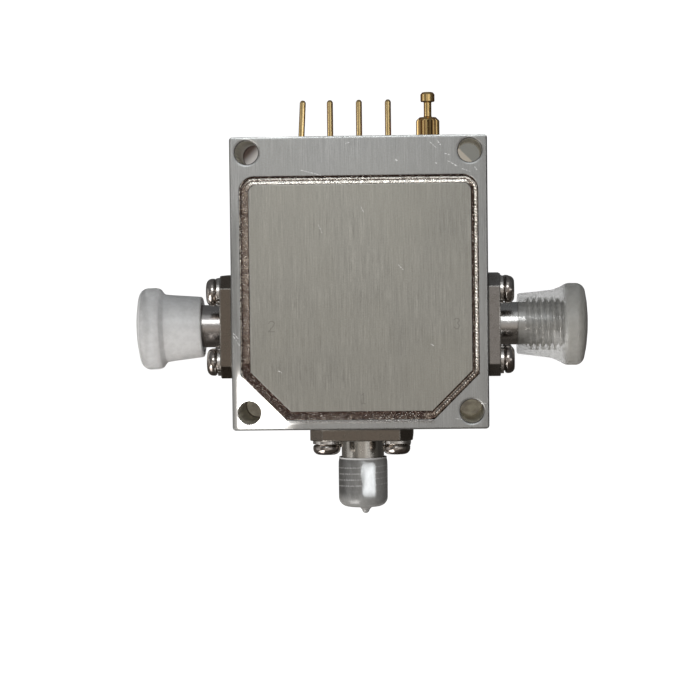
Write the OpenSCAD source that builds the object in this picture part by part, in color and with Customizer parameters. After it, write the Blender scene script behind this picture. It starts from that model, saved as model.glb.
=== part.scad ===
// Solid-state RF switch module with three flange-mount coaxial jacks,
// four solder pins and a turret ground terminal. Millimetres, +Z towards
// the lid. Origin: centre of the four mounting holes, on the base plane.

/* [Housing] */
// Width of the housing between the two side jacks
body_w = 31.55; // [31.35:0.05:33]
// Length of the housing from the jack side to the pin side
body_l = 36.0; // [35.8:0.1:37]
// Middle of the housing along its length, measured from the origin
body_y = -0.13; // [-0.2:0.01:0]
// Height of the housing
body_h = 14; // [13.6:0.1:16]
// Radius of the four upright edges
body_edge_r = 0.45; // [0.2:0.05:0.8]
// Chamfer along the edges of the top and base faces
body_chamfer = 0.18; // [0.1:0.02:0.3]
// Mounting hole spacing across the width
mount_sx = 27.3; // [27.2:0.1:27.6]
// Mounting hole spacing along the length
mount_sy = 31.9; // [31.8:0.1:32.2]
// Diameter of the mounting holes
mount_d = 2.9; // [2.4:0.1:3.0]

/* [Lid] */
// Half width of the lid pocket
lid_hw = 14.65; // [14.4:0.05:14.8]
// Edge of the lid pocket on the jack side, measured from the origin
lid_low = 16.9; // [16.8:0.05:17.05]
// Edge of the lid pocket on the pin side, measured from the origin
lid_high = 13.05; // [12.95:0.05:13.2]
// Distance that the lid sits right of the middle of its pocket
lid_dx = 0.15; // [0:0.05:0.2]
// Leg of the two 45 degree lid corners
lid_corner = 5.55; // [5.3:0.05:5.8]
// Radius of the two round lid corners
lid_r = 1.9; // [1.4:0.1:2.4]
// Depth of the lid pocket
lid_depth = 1.0; // [0.9:0.05:1.2]
// Width of the weld channel around the lid
seam_w = 1.05; // [0.9:0.05:1.2]

/* [Jacks] */
// Side of the square flanges
flange_s = 12.7; // [12.5:0.1:12.9]
// Thickness of the flanges
flange_t = 1.5; // [1.4:0.05:1.8]
// Corner cut of the flanges
flange_cut = 1.57; // [1.2:0.01:1.8]
// Half spacing of the flange screws
flange_hole = 4.32; // [4.2:0.02:4.4]
// Diameter of the relief barrel behind the thread
barrel_d = 5.33; // [5.2:0.01:5.4]
// Outside diameter of the thread
thread_d = 5.95; // [5.9:0.05:6.35]
// Start of the thread, measured from the flange face
thread_from = 3.2; // [3.1:0.1:3.4]
// End of the nose, measured from the flange face
nose_len = 8.1; // [8:0.05:8.15]
// Position of the side jacks along the length
side_jack_y = -5.45; // [-5.8:0.05:-5.2]
// Height of the jack axes above the base
jack_z = 7; // [6.9:0.05:7.1]

/* [Dust caps] */
// Gap between flange face and the mouth of the right cap
cap_gap_right = 2.2; // [2.1:0.05:2.5]
// Gap between flange face and the mouth of the left cap
cap_gap_left = 2.6; // [2.1:0.05:2.8]
// Distance from flange face to the end of the right cap
cap_end_right = 10.95; // [10.8:0.05:11.4]
// Distance from flange face to the end of the left cap
cap_end_left = 10.85; // [10.8:0.05:11.4]
// Outside diameter of the side cap tube at its collar
cap_tube_d = 8.5; // [8.2:0.1:8.8]
// Diameter of the side cap collar
cap_collar_d = 10.25; // [9.8:0.05:10.8]
// Length of the side cap collar
cap_collar_l = 3.1; // [2.6:0.1:3.2]
// Droop of the right cap on its thread, in degrees
cap_tilt_right = 1.0; // [0:0.1:1.2]
// Droop of the left cap on its thread, in degrees
cap_tilt_left = 1.6; // [0:0.1:1.8]

/* [Terminals] */
// Diameter of the solder pins
pin_d = 0.76; // [0.7:0.02:0.9]
// Length of the solder pins outside the wall
pin_out = 4.8; // [4:0.05:6]
// Spacing of the solder pins
pin_pitch = 3.625; // [3.5:0.025:3.7]
// Position of the first pin across the width
pin_x0 = -7.28; // [-7.4:0.02:-7.1]
// Lean of the first pin, which is a little bent, in degrees
pin_lean = 3; // [0:0.5:4]
// Position of the ground terminal across the width
gnd_x = 8.55; // [8.4:0.05:9]

/* [Hidden] */

$fn = 64;
e = 0.01;

// walls and chambers
wall_side = 3.75;
wall_low = 3.8;
body_y0 = body_y - body_l/2;
body_y1 = body_y + body_l/2;
chamber_hw = body_w/2 - wall_side;
rf_y0 = body_y0 + wall_low;
rf_y1 = 0.5;
part_t = 1.5;
drv_y0 = rf_y1 + part_t;
drv_y1 = 11.75;
chamber_r = 1.0;
pocket_z = body_h - lid_depth;

// everything that is soldered down meets the tracks at this height
track_top = jack_z - 0.2;
track_t = 0.05;
board_top = track_top - track_t;
rf_board_t = 0.5;
rf_floor = board_top - rf_board_t;
drv_board_t = 0.8;
drv_boss = board_top - drv_board_t;
drv_floor = drv_boss - 1.8;

// feedthroughs behind the jacks
ring_d = 3.0;
ring_l = 1.8;
glass_d = 1.9;
feed_d = 0.4;
air_d = 1.4;
feed_over = 1.0;

// flange screws and washers
screw_d = 2.0;
washer_t = 0.38;
washer_d = 3.44;
head_d = 3.4;
head_h = 1.34;
screw_l = 5.0;
tap_depth = 3.2;

// solder pin seals
eyelet_d = 2.6;
eyelet_l = 1.6;
bead_d = 1.9;
pin_in_d = pin_d - 0.34;
pin_z = track_top + pin_in_d/2;
pin_in_y = 10.1;

// small board screws
bs_d = 1.4;
bs_head_d = 2.4;
bs_head_h = 0.85;
rf_screws = [[-8.2, -11.2], [8.2, -11.2]];
drv_screws = [[-10.1, 3.75], [10.1, 3.75], [-10.1, 9.95], [10.1, 9.95]];
bias_x = [-5, 0, 5];
wire_d = 0.3;
wire_z = track_top + wire_d/2;
fcap_d = 1.6;

// ---------- helpers ----------
function arc_pts(c, r, a0, a1, n) =
  [for (i = [0:n]) [c[0] + r*cos(a0 + (a1 - a0)*i/n), c[1] + r*sin(a0 + (a1 - a0)*i/n)]];

module round_rect(w, l, r) {
  square([w - 2*r, l], center = true);
  square([w, l - 2*r], center = true);
  for (sx = [-1, 1], sy = [-1, 1])
    translate([sx*(w/2 - r), sy*(l/2 - r)]) circle(r = r);
}

// rectangle between two heights with its long edges chamfered
module chamfer_profile(w, h, c) {
  polygon([[-w/2 + c, 0], [w/2 - c, 0], [w/2, c], [w/2, h - c],
           [w/2 - c, h], [-w/2 + c, h], [-w/2, h - c], [-w/2, c]]);
}

// outline of the lid, moved inwards by d
module lid_outline(d) {
  hw = lid_hw - d;
  y0 = -lid_low + d;
  y1 = lid_high - d;
  c = lid_corner - 0.5858*d;
  r = lid_r - 0.9*d;
  polygon([[-hw + c, y0], [hw - c, y0], [hw, y0 + c], [hw, y1 - r], [hw - r, y1 - r],
           [hw - r, y1], [-hw + r, y1], [-hw + r, y1 - r], [-hw, y1 - r], [-hw, y0 + c]]);
  for (s = [-1, 1]) translate([s*(hw - r), y1 - r]) circle(r = r);
}

// local +Z points out of the housing wall
module at_right() translate([body_w/2, side_jack_y, jack_z]) rotate([0, 90, 0]) children();
module at_left() translate([-body_w/2, side_jack_y, jack_z]) rotate([0, -90, 0]) children();
module at_bottom() translate([0, body_y0, jack_z]) rotate([90, 0, 0]) children();
module at_pin(x, z) translate([x, body_y1, z]) rotate([-90, 0, 0]) children();
module at_flange_holes()
  for (sx = [-1, 1], sy = [-1, 1]) translate([sx*flange_hole, sy*flange_hole, 0]) children();

function pin_x(i) = pin_x0 + i*pin_pitch;

// ---------- housing ----------
module jack_cuts(wall) {
  translate([0, 0, -ring_l]) cylinder(d = ring_d, h = ring_l + 1);
  translate([0, 0, -wall - 0.5]) cylinder(d = air_d, h = wall + 0.6);
  at_flange_holes() translate([0, 0, -tap_depth]) cylinder(d = screw_d, h = tap_depth + 1, $fn = 32);
}

module chamber(y0, y1, z0) {
  translate([0, (y0 + y1)/2, z0]) linear_extrude(body_h)
    round_rect(2*chamber_hw, y1 - y0, chamber_r);
}

module housing() {
  color([0.66, 0.66, 0.67])
  difference() {
    translate([0, body_y, 0]) intersection() {
      linear_extrude(body_h) round_rect(body_w, body_l, body_edge_r);
      rotate([90, 0, 0]) translate([0, 0, -body_l]) linear_extrude(2*body_l)
        chamfer_profile(body_w, body_h, body_chamfer);
      rotate([90, 0, 90]) translate([0, 0, -body_w]) linear_extrude(2*body_w)
        chamfer_profile(body_l, body_h, body_chamfer);
    }
    // lid pocket
    translate([0, 0, pocket_z]) linear_extrude(lid_depth + 1) lid_outline(0);
    // microwave chamber and driver chamber, with a partition between
    chamber(rf_y0, rf_y1, rf_floor);
    difference() {
      chamber(drv_y0, drv_y1, drv_floor);
      for (p = drv_screws)
        translate([p[0] > 0 ? 8.9 : -12.4, p[1] > 6 ? 8.7 : 1.6, drv_floor - 1])
          cube([3.5, 3.2, drv_boss - drv_floor + 1]);
    }
    // mounting holes, right through
    for (sx = [-1, 1], sy = [-1, 1])
      translate([sx*mount_sx/2, sy*mount_sy/2, -1]) cylinder(d = mount_d, h = body_h + 2);
    // jacks
    at_right() jack_cuts(wall_side);
    at_left() jack_cuts(wall_side);
    at_bottom() jack_cuts(wall_low);
    // solder pins
    for (i = [0:3]) at_pin(pin_x(i), pin_z) {
      translate([0, 0, -eyelet_l]) cylinder(d = eyelet_d, h = eyelet_l + 1);
      translate([0, 0, drv_y1 - body_y1 - 0.5]) cylinder(d = 1.5, h = body_y1 - drv_y1);
    }
    // ground terminal
    at_pin(gnd_x, pin_z) translate([0, 0, -3.3]) cylinder(d = 1.52, h = 4.3);
    // feedthrough capacitors in the partition
    for (x = bias_x) translate([x, rf_y1 - 0.5, wire_z]) rotate([-90, 0, 0])
      cylinder(d = fcap_d, h = part_t + 1, $fn = 32);
    // board screws
    for (p = rf_screws) translate([p[0], p[1], rf_floor - 2.6]) cylinder(d = bs_d, h = 3, $fn = 32);
    for (p = drv_screws) translate([p[0], p[1], drv_boss - 2.6]) cylinder(d = bs_d, h = 3, $fn = 32);
  }
}

module lid() {
  color([0.68, 0.68, 0.69]) {
    translate([lid_dx, 0, pocket_z]) linear_extrude(lid_depth/2) lid_outline(0.25);
    translate([lid_dx, 0, pocket_z + lid_depth/2 - e]) linear_extrude(lid_depth/2 + e) lid_outline(seam_w);
  }
}

module weld_bead() {
  color([0.5, 0.46, 0.42])
  translate([0, 0, pocket_z + lid_depth/2 + 0.005]) linear_extrude(lid_depth/2 - 0.1)
    difference() { lid_outline(0.04); translate([lid_dx, 0]) lid_outline(seam_w - 0.04); }
}

// ---------- jacks ----------
module flange_outline() {
  s = flange_s/2;
  c = flange_cut;
  polygon([[-s + c, -s], [s - c, -s], [s, -s + c], [s, s - c],
           [s - c, s], [-s + c, s], [-s, s - c], [-s, -s + c]]);
}

module jack_shell() {
  color([0.5, 0.47, 0.42])
  difference() {
    union() {
      linear_extrude(flange_t) flange_outline();
      translate([0, 0, flange_t - e]) rotate_extrude()
        polygon([[0, 0], [barrel_d/2, 0], [barrel_d/2, thread_from],
                 [thread_d/2 - 0.15, thread_from], [thread_d/2, thread_from + 0.2],
                 [thread_d/2, nose_len - 0.5], [thread_d/2 - 0.45, nose_len], [0, nose_len]]);
    }
    translate([0, 0, -1]) cylinder(d = 4.1, h = nose_len + 4);
    translate([0, 0, flange_t + nose_len - 1.9]) cylinder(d = 4.62, h = 3);
    at_flange_holes() translate([0, 0, -1]) cylinder(d = 2.3, h = flange_t + 2, $fn = 32);
  }
}

module jack_insulator() {
  color([0.93, 0.93, 0.9])
  difference() {
    translate([0, 0, 0.01]) cylinder(d = 4.08, h = flange_t + nose_len - 1.91);
    translate([0, 0, -1]) cylinder(d = 1.29, h = nose_len + 4);
  }
}

module jack_contact() {
  top = flange_t + nose_len - 1.95;
  color([0.86, 0.68, 0.3])
  difference() {
    translate([0, 0, 0.05]) rotate_extrude($fn = 48)
      polygon([[0, 0], [0.5, 0], [0.635, 0.14], [0.635, top - 0.19], [0.5, top - 0.05], [0, top - 0.05]]);
    translate([0, 0, top - 2.6]) cylinder(d = 0.95, h = 3, $fn = 32);
    for (a = [0, 90]) rotate([0, 0, a]) translate([-1, -0.075, top - 2.3]) cube([2, 0.15, 3]);
    translate([0, 0, -0.5]) cylinder(d = feed_d + 0.02, h = 1.75, $fn = 32);
  }
}

module feed_ring() {
  color([0.72, 0.62, 0.4])
  translate([0, 0, -ring_l + 0.01]) difference() {
    cylinder(d = ring_d - 0.02, h = ring_l - 0.02);
    translate([0, 0, -1]) cylinder(d = glass_d, h = ring_l + 2);
  }
}

module feed_glass() {
  color([0.25, 0.32, 0.4])
  translate([0, 0, -ring_l + 0.01]) difference() {
    cylinder(d = glass_d - 0.01, h = ring_l - 0.02);
    translate([0, 0, -1]) cylinder(d = feed_d + 0.01, h = ring_l + 2, $fn = 32);
  }
}

module feed_pin(wall) {
  color([0.86, 0.68, 0.3])
  translate([0, 0, -wall - feed_over]) cylinder(d = feed_d, h = wall + feed_over + 1.2, $fn = 32);
}

// push-on cap with a collar at its closed end, drooping a little on its thread
module collar_cap(gap, end, tilt, flare) {
  l = end - gap;
  c0 = l - cap_collar_l;
  rc = cap_collar_d/2;
  rt = cap_tube_d/2;
  rb = thread_d/2 + 0.3;
  bore = l - 1.85;
  // the tube flows into the collar over the length flare
  sweep = [[0.02, -1.45], [0.08, -1.23], [0.15, -1.06], [0.32, -0.68], [0.49, -0.35], [0.63, -0.13], [0.77, 0.06],
           [0.88, 0.25], [0.96, 0.47], [1, 0.75]];
  outer = concat(
    [[0, 0], [rt - 0.62, 0], [rt - 0.46, 0.12], [rt - 0.38, 0.9], [rt - 0.1, c0 - 0.85 - 1.45*flare]],
    [for (q = sweep) [rt + q[0]*(rc - rt), c0 + q[1]*(q[1] < 0 ? flare : 1)]],
    arc_pts([rc - 1.15, l - 1.5], 1.15, 0, 72, 9),
    [[rc - 2.0, l - 0.17], [rc - 3.3, l - 0.03], [0, l]]);
  color([0.72, 0.71, 0.66])
  translate([0, -0.05*tilt, flange_t + gap]) rotate([tilt, 0, 0]) difference() {
    rotate_extrude() polygon(outer);
    translate([0, 0, -1]) rotate_extrude()
      polygon([[0, 0], [rb, 0], [rb, bore + 0.55], [rb - 0.45, bore + 1], [0, bore + 1]]);
  }
}

// thin sleeve cap that hugs the thread, closed by a round end with a nub
module sleeve_cap() {
  t = thread_d/2;
  b = barrel_d/2;
  end = nose_len + 0.69;
  color([0.55, 0.55, 0.54])
  translate([0, 0, flange_t]) difference() {
    union() {
      rotate_extrude()
        polygon(concat(
          [[0, 2.4], [b + 0.33, 2.4], [t + 0.02, 2.64], [t + 0.09, 3.0], [t + 0.11, thread_from + 0.4],
           [t + 0.11, 5.2], [t + 0.1, nose_len - 0.75]],
          arc_pts([t - 1.05, nose_len - 0.62], 1.15, 2, 84, 9),
          [[0.9, end - 0.05], [0, end]]));
      translate([0.3, 0, end - 0.2]) rotate_extrude($fn = 32)
        polygon(concat([[0, 0], [1.0, 0], [0.78, 0.18], [0.55, 0.42]], arc_pts([0, 0.5], 0.46, 8, 90, 6)));
    }
    rotate_extrude()
      polygon([[0, 0], [b + 0.23, 0], [b + 0.23, 2.46], [t + 0.01, 2.82],
               [t + 0.01, nose_len - 0.48], [t - 0.44, nose_len + 0.03], [t - 0.7, nose_len + 0.22],
               [0, nose_len + 0.25]]);
  }
}

module flange_screws() {
  z0 = flange_t + washer_t;
  color([0.45, 0.43, 0.4])
  at_flange_holes() difference() {
    union() {
      translate([0, 0, z0 - screw_l]) cylinder(d = screw_d - 0.03, h = screw_l + 0.1, $fn = 32);
      translate([0, 0, z0]) rotate_extrude($fn = 48)
        polygon(concat([[0, 0], [head_d/2 - 0.36, 0], [head_d/2 - 0.3, 0.12], [head_d/2 - 0.1, 0.2], [head_d/2, 0.38],
                        [head_d/2, head_h*0.45]],
                       arc_pts([head_d/2 - 0.75, head_h*0.45], 0.75, 8, 78, 8),
                       [[0, head_h]]));
    }
    for (a = [25, 115]) rotate([0, 0, a])
      translate([-0.85, -0.17, z0 + head_h - 0.75]) cube([1.7, 0.34, 2]);
  }
}

module spring_washers() {
  color([0.62, 0.6, 0.56])
  at_flange_holes() translate([0, 0, flange_t]) difference() {
    cylinder(d = washer_d, h = washer_t, $fn = 48);
    translate([0, 0, -1]) cylinder(d = 2.1, h = 3, $fn = 48);
    rotate([0, 0, -35]) translate([0.4, -0.15, -1]) cube([3, 0.3, 3]);
  }
}

// ---------- pins and ground terminal ----------
module bias_pin(i) {
  inside = body_y1 - pin_in_y;
  color([0.83, 0.67, 0.34])
  at_pin(pin_x(i), pin_z) {
    rotate([0, i == 0 ? pin_lean : 0, 0]) translate([0, 0, 0.02]) rotate_extrude($fn = 48)
      polygon([[0, 0], [pin_d/2, 0], [pin_d/2, pin_out - 0.3], [pin_d/2 - 0.14, pin_out - 0.08],
               [pin_d/2 - 0.26, pin_out - 0.02], [0, pin_out - 0.02]]);
    translate([0, 0, -inside]) cylinder(d = pin_in_d, h = inside + 0.1, $fn = 48);
  }
}

module bias_eyelets() {
  color([0.72, 0.62, 0.4])
  for (i = [0:3]) at_pin(pin_x(i), pin_z) translate([0, 0, -eyelet_l + 0.01]) difference() {
    cylinder(d = eyelet_d - 0.02, h = eyelet_l - 0.06);
    translate([0, 0, -1]) cylinder(d = bead_d, h = 4);
  }
}

module bias_glass() {
  color([0.25, 0.32, 0.4])
  for (i = [0:3]) at_pin(pin_x(i), pin_z) translate([0, 0, -eyelet_l + 0.1]) difference() {
    cylinder(d = bead_d - 0.01, h = eyelet_l - 0.25);
    translate([0, 0, -1]) cylinder(d = pin_in_d + 0.01, h = 4, $fn = 48);
  }
}

module ground_terminal() {
  base_l = 2.5;
  neck_l = 1.92;
  head_l = 1.22;
  color([0.8, 0.63, 0.3])
  at_pin(gnd_x, pin_z) {
    translate([0, 0, -3.2]) cylinder(d = 1.5, h = 3.4);
    intersection() {
      linear_extrude(base_l)
        polygon([for (i = [0:35]) let (r = i % 2 == 0 ? 1.46 : 1.33) [r*cos(i*10 + 4), r*sin(i*10 + 4)]]);
      rotate_extrude() polygon([[0, 0], [1.6, 0], [1.6, base_l - 0.75], [1.38, base_l - 0.34], [1.02, base_l], [0, base_l]]);
    }
    rotate_extrude($fn = 48)
      polygon([[0, base_l - 0.1], [0.6, base_l - 0.1], [0.6, base_l], [0.48, base_l + 0.12],
               [0.48, base_l + neck_l - 0.1], [0.56, base_l + neck_l],
               [0.8, base_l + neck_l], [0.88, base_l + neck_l + 0.1],
               [0.88, base_l + neck_l + head_l - 0.3], [0.7, base_l + neck_l + head_l - 0.06],
               [0.5, base_l + neck_l + head_l], [0, base_l + neck_l + head_l]]);
  }
}

// ---------- microwave chamber ----------
module rf_board() {
  w = 2*chamber_hw - 0.4;
  l = rf_y1 - rf_y0 - 0.4;
  color([0.88, 0.88, 0.84])
  difference() {
    translate([0, (rf_y0 + rf_y1)/2, rf_floor]) linear_extrude(rf_board_t) round_rect(w, l, 0.9);
    for (p = rf_screws) translate([p[0], p[1], rf_floor - 1]) cylinder(d = bs_d + 0.2, h = 3, $fn = 32);
  }
}

module track(x0, y0, x1, y1) translate([x0, y0, board_top]) cube([x1 - x0, y1 - y0, track_t]);

module rf_tracks() {
  y = side_jack_y;
  xe = chamber_hw - 0.4;
  color([0.86, 0.7, 0.35]) {
    track(-0.6, rf_y0 + 0.4, 0.6, -9.6);
    track(-0.6, -8.9, 0.6, y + 0.6);
    for (s = [-1, 1]) {
      track(s > 0 ? 1.1 : -3.9, y - 0.6, s > 0 ? 3.9 : -1.1, y + 0.6);
      track(s > 0 ? 4.0 : -8.0, y - 0.6, s > 0 ? 8.0 : -4.0, y + 0.6);
      track(s > 0 ? 8.7 : -xe, y - 0.6, s > 0 ? xe : -8.7, y + 0.6);
      track(s*5 - 0.15, y + 0.65, s*5 + 0.15, -3.6);
      track(s*5 - 0.4, -2.4, s*5 + 0.4, 0);
      track(s*6.4 - 0.7, y - 2.6, s*6.4 + 0.7, y - 1.1);
    }
    track(-0.15, y + 0.65, 0.15, -3.6);
    track(-0.4, -2.4, 0.4, 0);
  }
}

module pin_diodes() {
  color([0.2, 0.2, 0.22])
  for (s = [-1, 1]) {
    translate([s*0.85 - 0.4, side_jack_y - 0.35, track_top]) cube([0.8, 0.7, 0.3]);
    translate([s*6.4 - 0.35, side_jack_y - 1.35, track_top]) cube([0.7, 0.9, 0.3]);
  }
}

module dc_block_capacitors() {
  color([0.75, 0.66, 0.5]) {
    translate([-0.4, -9.85, track_top]) cube([0.8, 1.2, 0.6]);
    for (s = [-1, 1]) translate([s*8.35 - 0.6, side_jack_y - 0.4, track_top]) cube([1.2, 0.8, 0.6]);
  }
}

module bias_chokes() {
  color([0.35, 0.3, 0.25])
  for (x = bias_x) translate([x - 0.45, -4.1, track_top]) cube([0.9, 2.2, 0.95]);
}

module small_screw(l) {
  translate([0, 0, -l]) cylinder(d = bs_d - 0.03, h = l + 0.1, $fn = 32);
  difference() {
    rotate_extrude($fn = 32)
      polygon([[0, 0], [bs_head_d/2, 0], [bs_head_d/2, 0.45], [bs_head_d/2 - 0.3, bs_head_h], [0, bs_head_h]]);
    for (a = [0, 90]) rotate([0, 0, a]) translate([-0.6, -0.12, bs_head_h - 0.4]) cube([1.2, 0.24, 1]);
  }
}

module rf_board_screws() {
  color([0.6, 0.6, 0.6])
  for (p = rf_screws) translate([p[0], p[1], board_top]) small_screw(2.8);
}

module partition_capacitors() {
  color([0.8, 0.7, 0.45])
  for (x = bias_x) translate([x, rf_y1 + 0.05, wire_z]) rotate([-90, 0, 0]) difference() {
    cylinder(d = fcap_d - 0.02, h = part_t - 0.1, $fn = 32);
    translate([0, 0, -1]) cylinder(d = wire_d + 0.01, h = 4, $fn = 24);
  }
}

module bias_wires() {
  color([0.86, 0.7, 0.35])
  for (x = bias_x) translate([x, -1.6, wire_z]) rotate([-90, 0, 0])
    cylinder(d = wire_d, h = 4.7, $fn = 24);
}

// ---------- driver chamber ----------
module driver_board() {
  w = 2*chamber_hw - 0.4;
  l = drv_y1 - drv_y0 - 0.4;
  color([0.1, 0.35, 0.2])
  difference() {
    translate([0, (drv_y0 + drv_y1)/2, drv_boss]) linear_extrude(drv_board_t) round_rect(w, l, 0.9);
    for (p = drv_screws) translate([p[0], p[1], drv_boss - 1]) cylinder(d = bs_d + 0.2, h = 3, $fn = 32);
  }
}

module driver_pads() {
  color([0.86, 0.7, 0.35]) {
    for (i = [0:3]) track(pin_x(i) - 0.5, 9.9, pin_x(i) + 0.5, 11.4);
    for (x = bias_x) track(x - 0.4, 2.3, x + 0.4, 3.3);
  }
}

module driver_ic() {
  color([0.08, 0.08, 0.09])
  translate([-3.3, 4.9, track_top + 0.1]) cube([8.6, 2.9, 1.25]);
}

module driver_ic_leads() {
  color([0.75, 0.75, 0.75])
  for (i = [0:5], s = [0, 1]) translate([-2.55 + i*1.27, 0, 0])
    rotate([90, 0, 90]) linear_extrude(0.4)
      translate([s == 0 ? 4.9 : 7.8, board_top])
        mirror([s == 0 ? 0 : 1, 0])
          polygon([[0.0, 0.7], [-0.35, 0.7], [-0.42, 0.2], [-0.95, 0.2], [-0.95, 0], [-0.25, 0], [-0.2, 0.5], [0, 0.5]]);
}

module driver_transistors() {
  color([0.1, 0.1, 0.11])
  for (y = [5.3, 7.3]) translate([-8.2, y - 0.65, track_top]) cube([2.9, 1.3, 1.0]);
}

module driver_resistors() {
  color([0.12, 0.12, 0.14])
  for (i = [0:4]) translate([-4.4 + i*2.2, 8.75, board_top]) cube([1.6, 0.8, 0.45]);
}

module driver_capacitors() {
  color([0.78, 0.6, 0.25])
  for (y = [5.1, 7.2]) translate([6.4, y - 0.65, board_top]) cube([2.1, 1.3, 1.1]);
}

module driver_board_screws() {
  color([0.6, 0.6, 0.6])
  for (p = drv_screws) translate([p[0], p[1], board_top]) small_screw(3.1);
}

housing();
lid();
weld_bead();
at_right() jack_shell();  // right_jack_shell
at_right() jack_insulator();  // right_jack_insulator
at_right() jack_contact();  // right_jack_contact
at_right() feed_ring();  // right_feed_ring
at_right() feed_glass();  // right_feed_glass
at_right() feed_pin(wall_side);  // right_feed_pin
at_right() collar_cap(cap_gap_right, cap_end_right, cap_tilt_right, 1);  // right_dust_cap
at_right() flange_screws();  // right_flange_screws
at_right() spring_washers();  // right_spring_washers
at_left() jack_shell();  // left_jack_shell
at_left() jack_insulator();  // left_jack_insulator
at_left() jack_contact();  // left_jack_contact
at_left() feed_ring();  // left_feed_ring
at_left() feed_glass();  // left_feed_glass
at_left() feed_pin(wall_side);  // left_feed_pin
at_left() collar_cap(cap_gap_left, cap_end_left, cap_tilt_left, 0.35);  // left_dust_cap
at_left() flange_screws();  // left_flange_screws
at_left() spring_washers();  // left_spring_washers
at_bottom() jack_shell();  // bottom_jack_shell
at_bottom() jack_insulator();  // bottom_jack_insulator
at_bottom() jack_contact();  // bottom_jack_contact
at_bottom() feed_ring();  // bottom_feed_ring
at_bottom() feed_glass();  // bottom_feed_glass
at_bottom() feed_pin(wall_low);  // bottom_feed_pin
at_bottom() sleeve_cap();  // bottom_dust_cap
at_bottom() flange_screws();  // bottom_flange_screws
at_bottom() spring_washers();  // bottom_spring_washers
bias_pin(0);  // bias_pin_1
bias_pin(1);  // bias_pin_2
bias_pin(2);  // bias_pin_3
bias_pin(3);  // bias_pin_4
bias_eyelets();
bias_glass();
ground_terminal();
rf_board();
rf_tracks();
pin_diodes();
dc_block_capacitors();
bias_chokes();
rf_board_screws();
partition_capacitors();
bias_wires();
driver_board();
driver_pads();
driver_ic();
driver_ic_leads();
driver_transistors();
driver_resistors();
driver_capacitors();
driver_board_screws();
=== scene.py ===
import math
import random

import bmesh
import bpy
from mathutils import Matrix, Vector, noise


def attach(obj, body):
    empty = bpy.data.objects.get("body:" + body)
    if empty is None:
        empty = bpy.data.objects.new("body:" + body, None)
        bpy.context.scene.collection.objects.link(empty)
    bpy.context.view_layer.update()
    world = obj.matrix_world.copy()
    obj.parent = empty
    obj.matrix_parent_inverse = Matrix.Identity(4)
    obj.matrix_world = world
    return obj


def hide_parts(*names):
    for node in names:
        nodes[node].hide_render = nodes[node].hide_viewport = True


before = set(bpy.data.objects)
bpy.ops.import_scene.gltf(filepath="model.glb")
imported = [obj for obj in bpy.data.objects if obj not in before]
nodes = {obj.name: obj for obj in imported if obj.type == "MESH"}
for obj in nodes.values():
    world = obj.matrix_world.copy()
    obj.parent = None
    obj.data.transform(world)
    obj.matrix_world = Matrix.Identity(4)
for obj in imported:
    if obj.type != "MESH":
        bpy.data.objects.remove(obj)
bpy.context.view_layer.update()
MM = 0.001

# main sizes of the module, in millimetres, as the frame has them
BODY_W, BODY_L, BODY_H = 31.55, 36.0, 14.0
BODY_Y0, BODY_Y1 = -18.13, 17.87
LID_HW, LID_LOW, LID_HIGH, LID_C, LID_R, LID_DX = 14.65, 16.9, 13.05, 5.55, 1.9, 0.15
SEAM_W = 1.05
FLANGE_T, JACK_Z, SIDE_Y = 1.5, 7.0, -5.45

# ---------------------------------------------------------------- camera
CAM = Vector((9.492, 3.723, 294.0)) * MM
RX, RY, RZ = math.radians(2.462), math.radians(-2.188), math.radians(0.552)
F_PX = 2288.8
world_to_cam = Matrix.Rotation(RZ, 4, "Z") @ Matrix.Rotation(RY, 4, "Y") @ Matrix.Rotation(RX, 4, "X")
cam_data = bpy.data.cameras.new("camera")
cam_data.sensor_width = 36.0
cam_data.sensor_fit = "HORIZONTAL"
cam_data.lens = F_PX / 700 * 36.0
cam_data.clip_start = 0.01
cam_data.clip_end = 10
cam = bpy.data.objects.new("camera", cam_data)
bpy.context.scene.collection.objects.link(cam)
cam.matrix_world = Matrix.Translation(CAM) @ world_to_cam.inverted()
bpy.context.scene.camera = cam


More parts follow.
